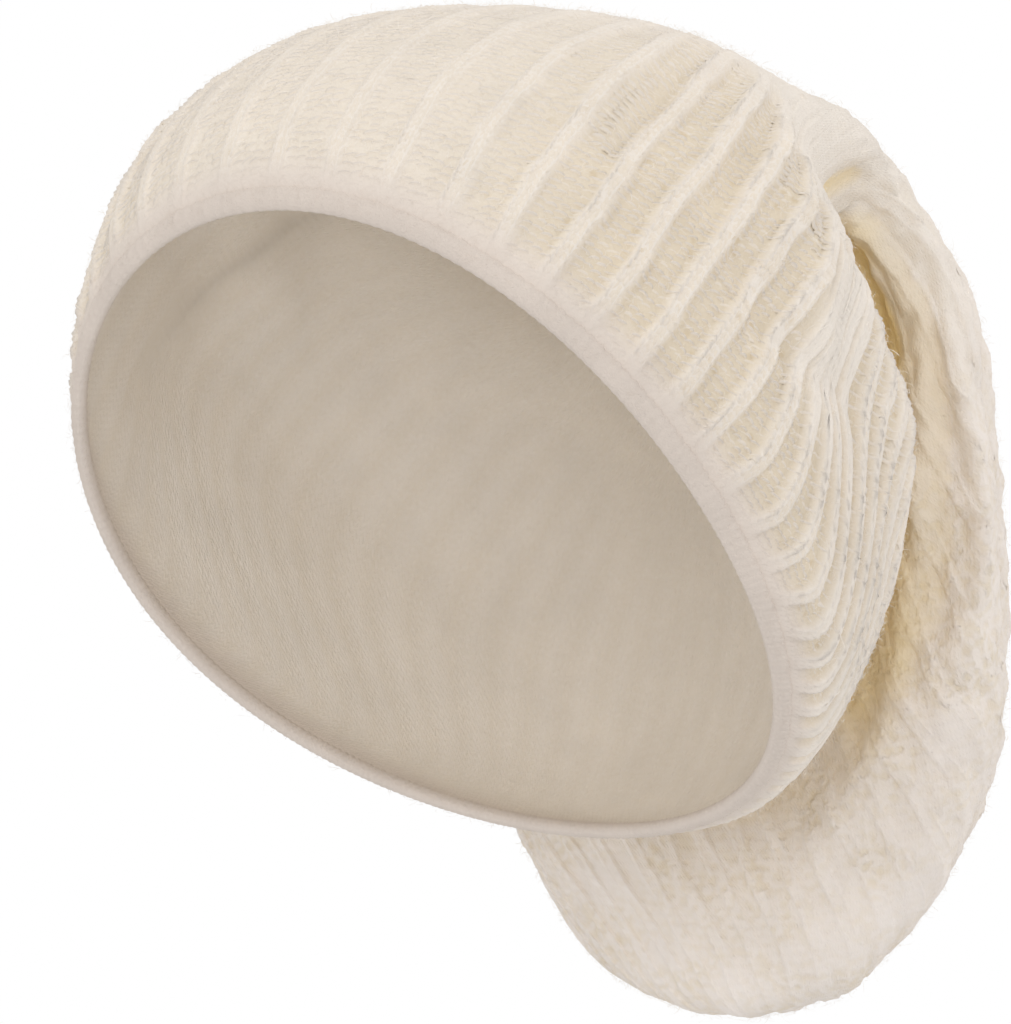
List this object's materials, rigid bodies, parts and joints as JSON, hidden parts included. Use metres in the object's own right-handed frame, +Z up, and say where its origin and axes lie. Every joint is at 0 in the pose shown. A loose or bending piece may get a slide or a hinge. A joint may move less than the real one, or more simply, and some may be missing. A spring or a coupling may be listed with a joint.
{
  "type": "slouch beanie",
  "caption": "Wide-rib knitted slouch beanie with a rolled edge, pinched behind the crown into a soft bag that hangs at the back of the head.",
  "frame": {"origin": "middle of the head opening, where the head goes in", "axes": "+Z up when worn, the face looks towards -Y, the bag hangs towards +Y, the wearer's left is +X"},
  "size_m": [0.1884, 0.2417, 0.2366],
  "materials": {
    "cream_knit": "matt wool knit with a soft halo of fibres",
    "rose_cream_edge": "matt wool knit, smooth rolled edge"
  },
  "bodies": {
    "root": {"knit_body": "cream_knit", "brim_hem": "rose_cream_edge"}
  },
  "joints": []
}
